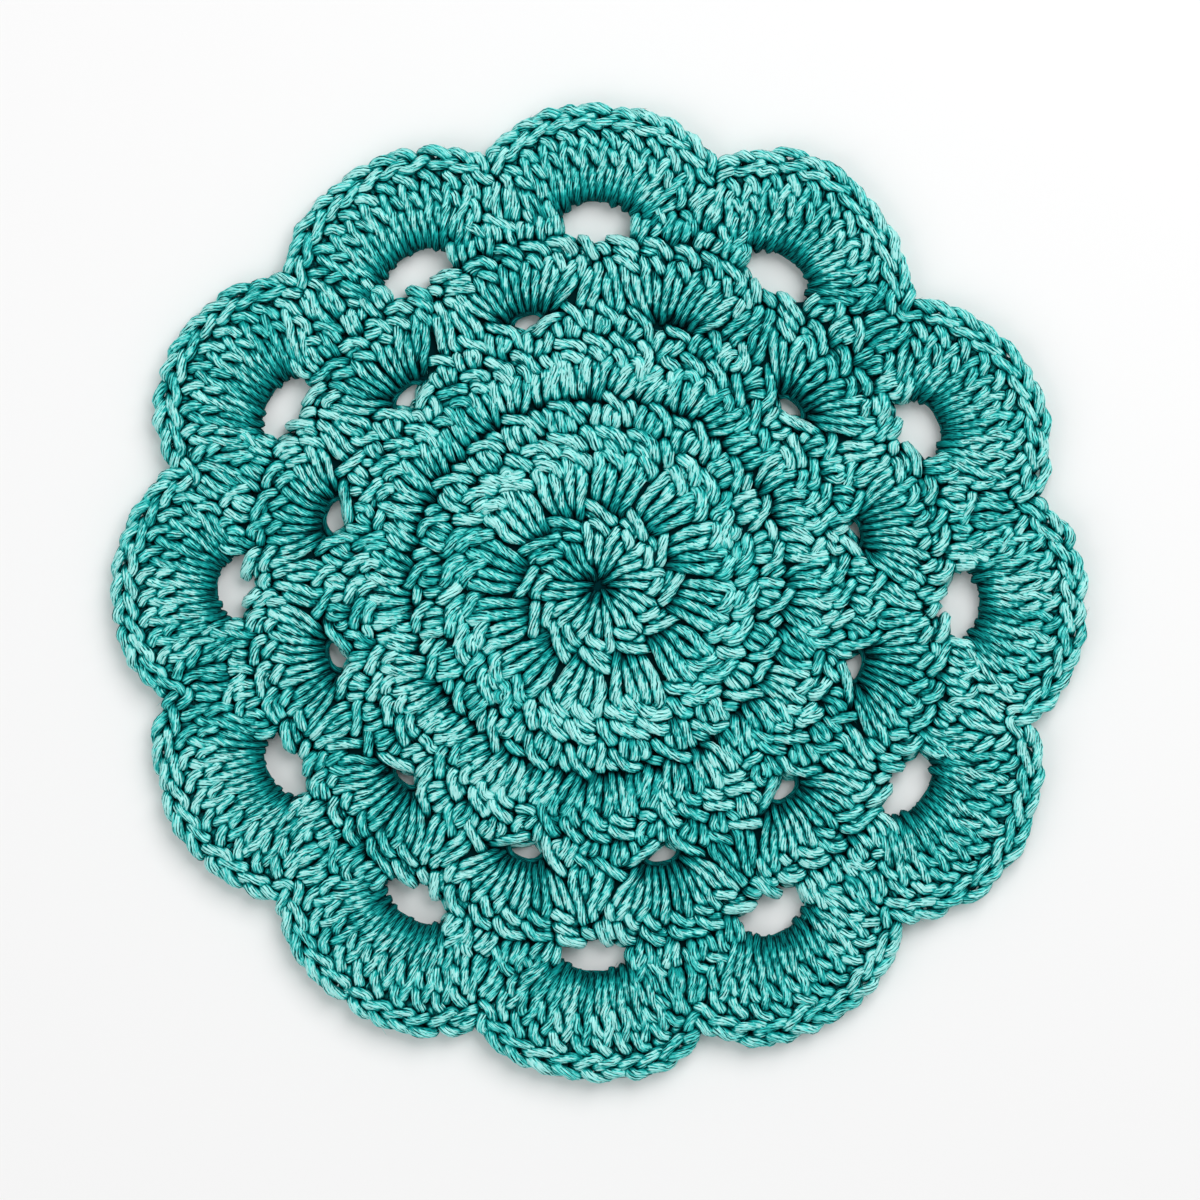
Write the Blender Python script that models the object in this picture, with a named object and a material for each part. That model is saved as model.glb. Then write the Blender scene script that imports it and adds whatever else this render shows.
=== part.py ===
"""A round crocheted lace doily, about 200 mm across, lying flat.

The cloth is one solid. Its underside is level. Its upper face carries the rounds of stitches as raised
rings, and the stitches of each round as ribs that run outwards from the middle. The scalloped edge and
the gaps of the lace go right through it, as uneven as hand work is.
"""

import math
from typing import NamedTuple

import bmesh
import bpy

MM = 0.001
TURN_DEG = 360.0

# The pattern: twelve repeats, each with one scallop, one large gap at its foot and one small gap beside it
REPEATS = 12
REPEAT_DEG = TURN_DEG / REPEATS

# Driving dimensions, in millimetres
TIP_REACH = 99.5
NOTCH_REACH = 91.0
CLOTH_THICKNESS = 4.7
RIM_HEIGHT = CLOTH_THICKNESS
POST_HEIGHT = 4.3
FURROW_HEIGHT = 3.3
GROOVE_HEIGHT = 3.4
HUB_HEIGHT = 2.6
EDGE_HEIGHT = 2.9
EDGE_NOTCHING = 0.5

# The middle of the pattern lies off the middle of the outline, because the lower scallops reach further
PATTERN_X = 0.0
PATTERN_Y = 1.45

# Hand work drifts off the even pattern only outside this radius, and wholly past the second one
EVEN_INSIDE = 32.0
DRIFT_OUTSIDE = 55.0

LOBE_POWER = 2.2
GAP_ARCH_SHARE = 0.5
GAP_ARCH_SIDES = 10
GAP_FOOT_SIDES = 4
EYE_ARCH_SHARE = 0.6
EYE_ARCH_SIDES = 6
EYE_FOOT_SIDES = 2
CUTTER_MARGIN = 2.0

YARN_COLOUR = (0.07, 0.42, 0.36, 1.0)
YARN_ROUGHNESS = 0.55
YARN_SHEEN = 0.3


class Scallop(NamedTuple):
    """One repeat, with the notch and the small gap, or eye, that follow its tip counter-clockwise.

    Reaches are measured from the middle of the pattern. All lengths are in millimetres.
    """

    tip_deg: float
    tip_reach: float
    notch_deg: float
    notch_reach: float
    gap_reach: float
    gap_width: float
    gap_height: float
    eye_reach: float
    eye_width: float
    eye_height: float


# Where the stitches close an eye, its width is 0
SCALLOPS = (
    Scallop(-3.0, 99.5, 11.5, 91.0, 73.7, 14.3, 7.3, 52.8, 4.9, 2.3),
    Scallop(26.2, 98.2, 42.5, 86.5, 72.3, 12.5, 8.3, 51.9, 0.0, 0.0),
    Scallop(60.6, 98.0, 74.5, 89.5, 72.9, 14.9, 7.3, 54.4, 0.0, 0.0),
    Scallop(90.5, 98.2, 105.0, 90.2, 74.0, 15.8, 7.8, 55.1, 0.0, 0.0),
    Scallop(120.2, 98.0, 135.3, 89.7, 73.6, 15.5, 7.2, 54.4, 5.9, 2.5),
    Scallop(150.5, 99.8, 165.2, 89.8, 73.4, 14.2, 6.6, 54.9, 6.0, 3.6),
    Scallop(180.7, 99.4, 194.8, 91.3, 74.0, 12.7, 6.6, 54.9, 4.6, 2.6),
    Scallop(210.4, 99.3, 224.6, 91.2, 73.5, 13.8, 6.9, 55.2, 0.0, 0.0),
    Scallop(240.3, 100.4, 254.6, 93.0, 74.3, 14.7, 6.4, 55.6, 5.5, 3.0),
    Scallop(269.6, 101.0, 283.2, 93.7, 75.3, 14.2, 5.8, 56.0, 5.5, 2.6),
    Scallop(298.3, 100.7, 312.3, 92.2, 75.4, 14.2, 8.0, 55.6, 5.2, 3.2),
    Scallop(327.2, 101.6, 342.3, 92.2, 75.1, 14.4, 6.7, 54.2, 5.8, 2.7),
)


class Ring(NamedTuple):
    """One ring of points on the upper face. Radius, swell and heights are in millimetres."""

    radius: float
    swell: float
    shift: float
    ribs: int
    crest: float
    furrow: float


# swell moves the ring outwards at the middle of a fan, and shift says where in the repeat that fan stands
FAN = 0.0
BETWEEN = 0.5
RINGS = (
    Ring(1.6, 0.0, FAN, 1, 3.2, 3.0),
    Ring(5.0, 0.0, FAN, 1, POST_HEIGHT, FURROW_HEIGHT),
    Ring(12.5, 0.0, FAN, 1, POST_HEIGHT, FURROW_HEIGHT),
    Ring(15.4, 0.0, FAN, 1, RIM_HEIGHT, 4.1),
    Ring(17.4, 0.0, FAN, 2, GROOVE_HEIGHT, GROOVE_HEIGHT),
    Ring(20.0, 0.0, FAN, 2, POST_HEIGHT, FURROW_HEIGHT),
    Ring(30.0, 0.0, FAN, 2, RIM_HEIGHT, 3.9),
    Ring(32.4, 0.0, FAN, 2, GROOVE_HEIGHT, GROOVE_HEIGHT),
    Ring(34.6, 0.0, FAN, 2, POST_HEIGHT, 3.1),
    Ring(38.0, 0.0, FAN, 2, POST_HEIGHT, 3.1),
    Ring(39.6, 0.0, FAN, 5, GROOVE_HEIGHT, FURROW_HEIGHT),
    Ring(46.0, 1.0, FAN, 5, POST_HEIGHT, FURROW_HEIGHT),
    Ring(49.0, 2.0, FAN, 5, RIM_HEIGHT, 3.9),
    Ring(51.4, 1.6, FAN, 5, GROOVE_HEIGHT, GROOVE_HEIGHT),
    Ring(55.4, 1.2, FAN, 5, RIM_HEIGHT, 3.6),
    Ring(57.6, 0.8, BETWEEN, 7, GROOVE_HEIGHT, FURROW_HEIGHT),
    Ring(66.4, 1.6, BETWEEN, 7, POST_HEIGHT, FURROW_HEIGHT),
    Ring(69.4, 3.4, BETWEEN, 7, RIM_HEIGHT, 3.9),
    Ring(71.6, 3.0, BETWEEN, 7, GROOVE_HEIGHT, GROOVE_HEIGHT),
    Ring(75.4, 2.4, BETWEEN, 7, RIM_HEIGHT, 3.6),
    Ring(78.8, 0.8, FAN, 10, GROOVE_HEIGHT, FURROW_HEIGHT),
    Ring(85.0, 6.6, FAN, 10, POST_HEIGHT, FURROW_HEIGHT),
    Ring(88.2, 8.4, FAN, 10, RIM_HEIGHT, 4.1),
)
EDGE_RIBS = 10


def lobe(phase: float) -> float:
    """Height of the scallop shape: 1 at the middle of a repeat, 0 half a repeat away."""
    away = 2 * abs(phase - round(phase))
    return 1 - away**LOBE_POWER


def between_knots(phase: float, tips: list[float], notches: list[float]) -> float:
    """Value at this phase on straight runs from tip to notch to tip."""
    half = (phase % REPEATS) * 2
    knot = int(half) % (2 * REPEATS)
    knots = [value for pair in zip(tips, notches) for value in pair]
    share = half - int(half)
    return knots[knot] * (1 - share) + knots[(knot + 1) % (2 * REPEATS)] * share


TIP_DRIFTS = [row.tip_deg - REPEAT_DEG * k for k, row in enumerate(SCALLOPS)]
NOTCH_DRIFTS = [row.notch_deg - REPEAT_DEG * (k + 0.5) for k, row in enumerate(SCALLOPS)]
TIP_STRETCHES = [row.tip_reach / TIP_REACH for row in SCALLOPS]
NOTCH_STRETCHES = [row.notch_reach / NOTCH_REACH for row in SCALLOPS]


def place(phase: float, radius: float) -> tuple[float, float]:
    """Where a point of the even pattern lies in the real cloth, in millimetres.

    phase counts repeats counter-clockwise from +X, with whole numbers at the scallops' tips.
    """
    share = min(max((radius - EVEN_INSIDE) / (DRIFT_OUTSIDE - EVEN_INSIDE), 0.0), 1.0)
    drift = between_knots(phase, TIP_DRIFTS, NOTCH_DRIFTS)
    stretch = between_knots(phase, TIP_STRETCHES, NOTCH_STRETCHES)
    angle = math.radians(phase * REPEAT_DEG + share * drift)
    reach = radius * (1 + share * (stretch - 1))
    return PATTERN_X + reach * math.cos(angle), PATTERN_Y + reach * math.sin(angle)


def rib_phases(ribs: int) -> list[float]:
    """Phases of the points of a ring, with a crest at each even one and a furrow at each odd one."""
    return [step / (2 * ribs) for step in range(2 * ribs * REPEATS)]


def add_ring(bm: bmesh.types.BMesh, points: list[tuple[float, float, float]]) -> list[bmesh.types.BMVert]:
    """Vertices for one ring of points given in millimetres."""
    return [bm.verts.new((x * MM, y * MM, z * MM)) for x, y, z in points]


def ring_points(ring: Ring) -> list[tuple[float, float, float]]:
    """Points of one raised ring on the upper face."""
    points = []
    for step, phase in enumerate(rib_phases(ring.ribs)):
        radius = ring.radius + ring.swell * lobe(phase + ring.shift)
        x, y = place(phase, radius)
        points.append((x, y, ring.furrow if step % 2 else ring.crest))
    return points


def edge_points(height: float) -> list[tuple[float, float, float]]:
    """The scalloped outline at one height, stepped in a little between the edge stitches."""
    points = []
    for step, phase in enumerate(rib_phases(EDGE_RIBS)):
        reach = NOTCH_REACH + (TIP_REACH - NOTCH_REACH) * lobe(phase)
        x, y = place(phase, reach - EDGE_NOTCHING * (step % 2))
        points.append((x, y, height))
    return points


def zip_rings(
    bm: bmesh.types.BMesh, inner: list[bmesh.types.BMVert], outer: list[bmesh.types.BMVert]
) -> None:
    """Triangles between two rings that start at the same phase and may differ in their number of points."""
    i = 0
    j = 0
    while i < len(inner) or j < len(outer):
        here = inner[i % len(inner)]
        there = outer[j % len(outer)]
        if (i + 1) * len(outer) < (j + 1) * len(inner):
            i += 1
            bm.faces.new((here, there, inner[i % len(inner)]))
        else:
            j += 1
            bm.faces.new((here, there, outer[j % len(outer)]))


def fan_faces(bm: bmesh.types.BMesh, centre: bmesh.types.BMVert, ring: list[bmesh.types.BMVert]) -> None:
    """Triangles from one middle point to a ring."""
    for vert, following in zip(ring, ring[1:] + ring[:1]):
        bm.faces.new((centre, vert, following))


def cloth_mesh() -> bpy.types.Mesh:
    """The whole cloth before its gaps are cut."""
    bm = bmesh.new()
    top = bm.verts.new((PATTERN_X * MM, PATTERN_Y * MM, HUB_HEIGHT * MM))
    rings = [add_ring(bm, ring_points(ring)) for ring in RINGS]
    rings.append(add_ring(bm, edge_points(EDGE_HEIGHT)))
    rings.append(add_ring(bm, edge_points(0.0)))
    bottom = bm.verts.new((PATTERN_X * MM, PATTERN_Y * MM, 0.0))
    fan_faces(bm, top, rings[0])
    for inner, outer in zip(rings, rings[1:]):
        zip_rings(bm, inner, outer)
    fan_faces(bm, bottom, rings[-1][::-1])
    bmesh.ops.recalc_face_normals(bm, faces=bm.faces)
    mesh = bpy.data.meshes.new("doily")
    bm.to_mesh(mesh)
    bm.free()
    return mesh


def gap_outline(
    width: float, height: float, arch_share: float, arch_sides: int, foot_sides: int
) -> list[tuple[float, float]]:
    """Outline of a gap about its own middle: a round arch outside, and a shallow V towards the middle."""
    half = width / 2
    arch = height * arch_share
    foot = height - arch
    level = foot - height / 2
    points = []
    for side in range(arch_sides):
        angle = math.pi * side / arch_sides
        points.append((half * math.cos(angle), level + arch * math.sin(angle)))
    for side in range(foot_sides):
        across = -1 + 2 * side / foot_sides
        points.append((half * across, level - foot * (1 - abs(across))))
    return points


def add_prism(bm: bmesh.types.BMesh, phase: float, reach: float, outline: list[tuple[float, float]]) -> None:
    """A cutter that stands on the cloth at this phase and reach, and passes both its faces."""
    x, y = place(phase, DRIFT_OUTSIDE)
    angle = math.atan2(y - PATTERN_Y, x - PATTERN_X)
    out_x = math.cos(angle)
    out_y = math.sin(angle)
    low = []
    for across, outwards in outline:
        px = PATTERN_X + (reach + outwards) * out_x + across * out_y
        py = PATTERN_Y + (reach + outwards) * out_y - across * out_x
        low.append(bm.verts.new((px * MM, py * MM, -CUTTER_MARGIN * MM)))
    face = bm.faces.new(low)
    raised = bmesh.ops.extrude_face_region(bm, geom=[face])["geom"]
    corners = [item for item in raised if isinstance(item, bmesh.types.BMVert)]
    lift = (0.0, 0.0, (CLOTH_THICKNESS + 2 * CUTTER_MARGIN) * MM)
    bmesh.ops.translate(bm, vec=lift, verts=corners)


def cutter_object() -> bpy.types.Object:
    """All the gaps as one hidden cutter."""
    bm = bmesh.new()
    gap_shape = (GAP_ARCH_SHARE, GAP_ARCH_SIDES, GAP_FOOT_SIDES)
    eye_shape = (EYE_ARCH_SHARE, EYE_ARCH_SIDES, EYE_FOOT_SIDES)
    for k, row in enumerate(SCALLOPS):
        add_prism(bm, k, row.gap_reach, gap_outline(row.gap_width, row.gap_height, *gap_shape))
        if row.eye_width:
            outline = gap_outline(row.eye_width, row.eye_height, *eye_shape)
            add_prism(bm, k + 0.5, row.eye_reach, outline)
    bmesh.ops.recalc_face_normals(bm, faces=bm.faces)
    mesh = bpy.data.meshes.new("gap_cutter")
    bm.to_mesh(mesh)
    bm.free()
    cutter = bpy.data.objects.new("gap_cutter", mesh)
    cutter.hide_render = True
    cutter.display_type = "WIRE"
    bpy.context.scene.collection.objects.link(cutter)
    return cutter


def yarn_material() -> bpy.types.Material:
    """Teal cotton."""
    material = bpy.data.materials.new("teal_cotton")
    material.use_nodes = True
    shader = material.node_tree.nodes["Principled BSDF"]
    shader.inputs["Base Color"].default_value = YARN_COLOUR
    shader.inputs["Roughness"].default_value = YARN_ROUGHNESS
    shader.inputs["Metallic"].default_value = 0.0
    shader.inputs["Sheen Weight"].default_value = YARN_SHEEN
    return material


def doily_object() -> bpy.types.Object:
    """The cloth with its gaps cut."""
    mesh = cloth_mesh()
    mesh.materials.append(yarn_material())
    doily = bpy.data.objects.new("doily", mesh)
    bpy.context.scene.collection.objects.link(doily)
    cut = doily.modifiers.new("gaps", "BOOLEAN")
    cut.operation = "DIFFERENCE"
    cut.object = cutter_object()
    return doily


def clear_scene() -> None:
    """Empties the scene that the script starts in."""
    for obj in list(bpy.data.objects):
        bpy.data.objects.remove(obj, do_unlink=True)


def main() -> None:
    """Builds the doily."""
    clear_scene()
    doily_object()


main()
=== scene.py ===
"""The looks of a round crocheted lace doily: every stitch as yarn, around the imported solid."""

from __future__ import annotations

import logging
import math
from dataclasses import dataclass, field
from enum import Enum
from functools import partial
from typing import NamedTuple

import bpy
import numpy as np
from mathutils import Matrix, Vector


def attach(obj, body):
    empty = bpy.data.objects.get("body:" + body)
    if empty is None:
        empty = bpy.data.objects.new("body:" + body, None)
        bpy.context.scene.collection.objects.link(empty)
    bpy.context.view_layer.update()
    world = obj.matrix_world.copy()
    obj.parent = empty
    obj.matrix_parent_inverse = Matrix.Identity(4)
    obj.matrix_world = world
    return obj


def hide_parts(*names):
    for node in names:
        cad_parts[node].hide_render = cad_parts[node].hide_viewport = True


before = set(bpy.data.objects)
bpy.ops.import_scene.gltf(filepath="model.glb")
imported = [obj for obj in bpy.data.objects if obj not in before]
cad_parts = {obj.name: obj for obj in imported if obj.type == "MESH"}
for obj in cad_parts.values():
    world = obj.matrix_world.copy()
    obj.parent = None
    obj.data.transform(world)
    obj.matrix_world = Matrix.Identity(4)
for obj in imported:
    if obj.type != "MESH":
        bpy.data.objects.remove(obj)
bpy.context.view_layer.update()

log = logging.getLogger("doily")

MM = 0.001
REPEATS = 12
REPEAT_DEG = 360.0 / REPEATS
SEED = 4107
CLOTH_NODE = "doily"
BODY = "root"
PLIES_UV = "yarn_uv"
# Name of the attribute that holds each yarn point's painted shade
SHADE_ATTRIBUTE = "painted_shade"


class Scallop(NamedTuple):
    """One repeat of the cloth, in degrees and millimetres, as uneven as hand work is."""

    tip_deg: float
    tip_reach: float
    notch_deg: float
    notch_reach: float
    gap_reach: float
    gap_width: float
    gap_height: float
    eye_reach: float
    eye_width: float
    eye_height: float


# An eye of width 0 is one that the stitches close
SCALLOPS = (
    Scallop(-3.0, 99.5, 11.5, 91.0, 73.7, 14.3, 7.3, 52.8, 4.9, 2.3),
    Scallop(26.2, 98.2, 42.5, 86.5, 72.3, 12.5, 8.3, 53.0, 4.6, 2.0),
    Scallop(60.6, 98.0, 74.5, 89.5, 72.9, 14.9, 7.3, 54.4, 0.0, 0.0),
    Scallop(90.5, 98.2, 105.0, 90.2, 74.0, 15.8, 7.8, 55.6, 4.4, 1.6),
    Scallop(120.2, 98.0, 135.3, 89.7, 73.6, 15.5, 7.2, 54.4, 5.9, 2.5),
    Scallop(150.5, 99.8, 165.2, 89.8, 73.4, 14.2, 6.6, 54.9, 6.0, 3.6),
    Scallop(180.7, 99.4, 194.8, 91.3, 74.0, 12.7, 6.6, 54.9, 4.6, 2.6),
    Scallop(210.4, 99.3, 224.6, 91.2, 73.5, 13.8, 6.9, 55.2, 3.9, 1.6),
    Scallop(240.3, 100.4, 254.6, 93.0, 74.3, 14.7, 6.4, 55.6, 5.5, 3.0),
    Scallop(269.6, 101.0, 283.2, 93.7, 75.3, 14.2, 5.8, 56.0, 5.5, 2.6),
    Scallop(298.3, 100.7, 312.3, 92.2, 75.4, 14.2, 8.0, 55.6, 5.2, 3.2),
    Scallop(327.2, 101.6, 342.3, 92.2, 75.1, 14.4, 6.7, 54.2, 5.8, 2.7),
)


@dataclass(frozen=True)
class Pattern:
    """The even pattern, and how the real cloth drifts off it. Lengths are in millimetres."""

    centre_x: float = 0.0
    centre_y: float = 1.45
    tip_reach: float = 99.5
    notch_reach: float = 91.0
    even_inside: float = 32.0
    drift_outside: float = 55.0
    lobe_power: float = 2.2
    closed_eye: float = 3.4
    closed_eye_height: float = 1.2

    def knots(self, tips: list[float], notches: list[float]) -> np.ndarray:
        """Values at the tips and notches in turn, counter-clockwise from the first tip."""
        return np.array([value for pair in zip(tips, notches) for value in pair])

    def between(self, phase: np.ndarray, knots: np.ndarray) -> np.ndarray:
        """Value at a phase, on straight runs from tip to notch to tip."""
        return np.interp(phase, np.arange(2 * REPEATS) / 2, knots, period=REPEATS)

    def share(self, radius: np.ndarray) -> np.ndarray:
        """How far the drift holds at a radius, from 0 to 1."""
        return np.clip((radius - self.even_inside) / (self.drift_outside - self.even_inside), 0, 1)

    def angle(self, phase: np.ndarray, radius: np.ndarray) -> np.ndarray:
        """The real angle of a phase, in radians counter-clockwise from +X."""
        drift = self.knots(
            [row.tip_deg - REPEAT_DEG * k for k, row in enumerate(SCALLOPS)],
            [row.notch_deg - REPEAT_DEG * (k + 0.5) for k, row in enumerate(SCALLOPS)],
        )
        return np.radians(phase * REPEAT_DEG + self.share(radius) * self.between(phase, drift))

    def place(self, phase: np.ndarray, radius: np.ndarray) -> np.ndarray:
        """Where a point of the even pattern lies in the real cloth.

        Args:
            phase: repeats counter-clockwise from +X, whole at the scallops' tips.
            radius: radius in the even pattern, in millimetres.

        Returns:
            x and y in millimetres, on the last axis.
        """
        phase = np.asarray(phase, float)
        radius = np.asarray(radius, float)
        stretch = self.knots(
            [row.tip_reach / self.tip_reach for row in SCALLOPS],
            [row.notch_reach / self.notch_reach for row in SCALLOPS],
        )
        angle = self.angle(phase, radius)
        reach = radius * (1 + self.share(radius) * (self.between(phase, stretch) - 1))
        x = self.centre_x + reach * np.cos(angle)
        y = self.centre_y + reach * np.sin(angle)
        return np.stack([x, y], axis=-1)

    def lobe(self, phase: np.ndarray) -> np.ndarray:
        """The scallop shape: 1 at the middle of a repeat, 0 half a repeat away."""
        phase = np.asarray(phase, float)
        return 1 - (2 * np.abs(phase - np.round(phase))) ** self.lobe_power

    def edge(self, phase: np.ndarray, inset: float) -> np.ndarray:
        """A point on the scalloped outline, or this far inside it."""
        reach = self.notch_reach + (self.tip_reach - self.notch_reach) * self.lobe(phase)
        return self.place(phase, reach - inset)

    def local(self, phase: float, reach: float, across: np.ndarray, out: np.ndarray) -> np.ndarray:
        """Points given across (clockwise) and outwards of a spot at a phase and a real reach."""
        angle = float(self.angle(np.float64(phase), np.float64(self.drift_outside)))
        x = (reach + out) * math.cos(angle) + across * math.sin(angle)
        y = (reach + out) * math.sin(angle) - across * math.cos(angle)
        return np.stack([x + self.centre_x, y + self.centre_y], axis=-1)


@dataclass(frozen=True)
class Opening:
    """One gap of the lace: a round arch outside and a shallow V towards the middle."""

    phase: float
    reach: float
    width: float
    height: float
    arch_share: float
    spare: float = 0.0

    def arch(self, pattern: Pattern, turn: np.ndarray, lift: float) -> np.ndarray:
        """Points on the arch, from its clockwise end (0) to the other (pi), this far outside it."""
        foot = self.height * (1 - self.arch_share)
        level = foot - self.height / 2
        across = (self.width / 2 + lift) * np.cos(turn)
        out = level + (self.height * self.arch_share + lift) * np.sin(turn)
        return pattern.local(self.phase, self.reach, across, out)

    def hold_back(self, pattern: Pattern, point: np.ndarray, clear: float) -> np.ndarray:
        """A point, moved towards the middle of the cloth until it is this far clear of the V."""
        angle = float(pattern.angle(np.float64(self.phase), np.float64(pattern.drift_outside)))
        x = point[0] - pattern.centre_x
        y = point[1] - pattern.centre_y
        across = x * math.sin(angle) - y * math.cos(angle)
        out = x * math.cos(angle) + y * math.sin(angle) - self.reach
        foot = self.height * (1 - self.arch_share)
        side = foot - self.height / 2 - foot * (1 - abs(across) / (self.width / 2))
        return pattern.local(self.phase, self.reach, np.float64(across), np.float64(min(out, side - clear)))

    def outline(self, pattern: Pattern, margin: float, sides: int) -> np.ndarray:
        """The whole outline, widened by a margin."""
        arch = self.arch(pattern, np.linspace(0, math.pi, sides), margin)
        foot = self.height * (1 - self.arch_share)
        level = foot - self.height / 2
        across = np.linspace(-1, 1, sides)[1:-1]
        out = level - (foot + margin) * (1 - np.abs(across))
        side = pattern.local(self.phase, self.reach, across * (self.width / 2 + margin), out)
        return np.concatenate([arch, side])


class Stitch(Enum):
    """The kinds of stitch in the cloth."""

    TALL = "tall"
    LONG = "long"
    SHORT = "short"
    DIP = "dip"
    CHAIN = "chain"
    BAR = "bar"


class Knot(NamedTuple):
    """A point that the yarn passes in a stitch.

    across is in stitch spacings, clockwise. up is a share of the stitch's height. lift is in yarn radii
    outwards, and depth in yarn radii towards the viewer, both from the middle of the cloth.
    """

    across: float
    up: float
    lift: float
    depth: float


def knots(*rows: tuple[float, float, float, float]) -> tuple[Knot, ...]:
    """A stitch's knots, in the order that the yarn passes them."""
    return tuple(Knot(*row) for row in rows)


# The loop that lies along the top of each stitch: front leg, head, back leg
CHAIN_LOOP = knots(
    (1.00, 1.0, -1.9, -1.2), (0.84, 1.0, -2.0, 0.2), (0.62, 1.0, -1.3, 1.5), (0.34, 1.0, -0.3, 1.7),
    (0.08, 1.0, 0.5, 1.1), (-0.06, 1.0, 0.8, -0.2), (0.08, 1.0, 0.5, -1.2), (0.50, 1.0, 0.2, -1.5),
    (0.90, 1.0, -0.6, -1.4),
)

# The same loop at the free edge, where both its legs show: it comes up inside the loop before it
EDGE_LOOP = knots(
    (1.40, 1.0, -0.3, -1.1), (1.30, 1.0, -0.4, 0.3), (1.00, 1.0, -0.8, 1.3), (0.62, 1.0, -1.2, 1.3),
    (0.28, 1.0, -1.1, 0.6), (0.02, 1.0, -0.6, -0.2), (-0.04, 1.0, 0.2, -0.3), (0.10, 1.0, 0.8, 0.1),
    (0.42, 1.0, 1.1, 0.8), (0.80, 1.0, 0.9, 1.2), (1.12, 1.0, 0.4, 0.9), (1.30, 1.0, 0.1, -0.6),
    (0.95, 1.0, -0.1, -1.5),
)

# A plain strand that later stitches are worked round
BAR_KNOT = knots((0.0, 1.0, 0.0, -0.2))

# A tall stitch: two front strands at its foot, then a slanting one, then the one under its loop
TALL_POST = knots(
    (1.05, 0.82, 0.0, -1.1), (0.92, 0.44, 0.0, -0.8), (0.80, 0.36, 0.0, 0.6), (0.56, 0.47, 0.0, 1.7),
    (0.26, 0.62, 0.0, 1.5), (0.02, 0.72, 0.0, -0.1), (0.05, 0.50, 0.0, -1.3), (0.14, 0.20, 0.0, -1.5),
    (0.26, 0.02, -0.6, -1.4), (0.26, 0.00, -1.1, -0.2), (0.28, 0.03, -0.4, 0.9), (0.32, 0.12, 0.0, 1.6),
    (0.38, 0.28, 0.0, 1.7), (0.42, 0.44, 0.0, 1.1), (0.42, 0.56, 0.0, -0.1), (0.25, 0.74, 0.0, -0.4),
    (0.00, 0.76, 0.0, 0.3), (-0.10, 0.62, 0.0, 1.2), (-0.20, 0.34, 0.0, 1.7), (-0.22, 0.13, 0.0, 1.6),
    (-0.20, 0.03, -0.4, 0.9), (-0.18, 0.00, -1.1, -0.2), (-0.14, 0.02, -0.6, -1.4), (0.05, 0.30, 0.0, -1.0),
    (0.45, 0.60, 0.0, -0.9), (0.64, 0.74, 0.0, -0.1), (0.60, 0.88, 0.0, 0.3), (0.30, 0.94, 0.0, -0.2),
    (-0.14, 0.94, 0.0, 0.2), (-0.28, 0.88, 0.0, 0.9), (0.04, 0.78, 0.0, 1.8), (0.40, 0.66, 0.0, 1.4),
    (0.60, 0.58, 0.0, -0.1), (0.48, 0.72, 0.0, -1.3), (0.66, 0.90, 0.0, -1.2),
)

# A tall stitch whose front strands run most of its height
LONG_POST = knots(
    (1.05, 0.88, 0.0, -1.1), (0.90, 0.66, 0.0, -1.0), (0.82, 0.62, 0.0, 0.4), (0.62, 0.70, 0.0, 1.6),
    (0.32, 0.80, 0.0, 1.2), (0.10, 0.84, 0.0, -0.2), (0.08, 0.60, 0.0, -1.4), (0.14, 0.25, 0.0, -1.5),
    (0.26, 0.02, -0.6, -1.4), (0.26, 0.00, -1.1, -0.2), (0.28, 0.03, -0.4, 0.9), (0.32, 0.14, 0.0, 1.7),
    (0.38, 0.36, 0.0, 2.0), (0.42, 0.56, 0.0, 1.7), (0.42, 0.68, 0.0, 0.9), (0.36, 0.78, 0.0, -0.3),
    (0.18, 0.84, 0.0, -0.4), (0.00, 0.80, 0.0, 0.3), (-0.10, 0.66, 0.0, 1.3), (-0.18, 0.42, 0.0, 1.9),
    (-0.22, 0.16, 0.0, 1.7), (-0.20, 0.03, -0.4, 0.9), (-0.18, 0.00, -1.1, -0.2), (-0.14, 0.02, -0.6, -1.4),
    (0.05, 0.35, 0.0, -1.2), (0.45, 0.70, 0.0, -0.9), (0.66, 0.80, 0.0, 0.3), (0.60, 0.90, 0.0, 1.2),
    (0.28, 0.94, 0.0, 0.9), (-0.10, 0.93, 0.0, 0.1), (0.10, 0.88, 0.0, -1.0), (0.66, 0.92, 0.0, -1.3),
)

# A stitch half as tall, with its three front strands side by side
SHORT_POST = knots(
    (0.90, 0.70, 0.0, -1.1), (0.35, 0.20, 0.0, -1.3), (0.18, 0.00, -1.0, -0.6), (0.16, 0.06, 0.0, 0.7),
    (0.26, 0.34, 0.0, 1.8), (0.40, 0.70, 0.0, 1.4), (0.36, 0.88, 0.0, 0.2), (0.16, 0.80, 0.0, -0.4),
    (0.06, 0.64, 0.0, 1.2), (0.03, 0.36, 0.0, 1.9), (0.00, 0.07, 0.0, 0.9), (0.00, 0.00, -1.0, -0.2),
    (-0.04, 0.30, 0.0, -1.1), (-0.16, 0.80, 0.0, -0.6), (-0.30, 0.78, 0.0, 1.0), (-0.24, 0.42, 0.0, 1.7),
    (-0.15, 0.08, 0.0, 0.7), (-0.14, 0.00, -1.0, -0.4), (0.10, 0.20, 0.0, -1.3), (0.50, 0.70, 0.0, -1.2),
)

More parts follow.
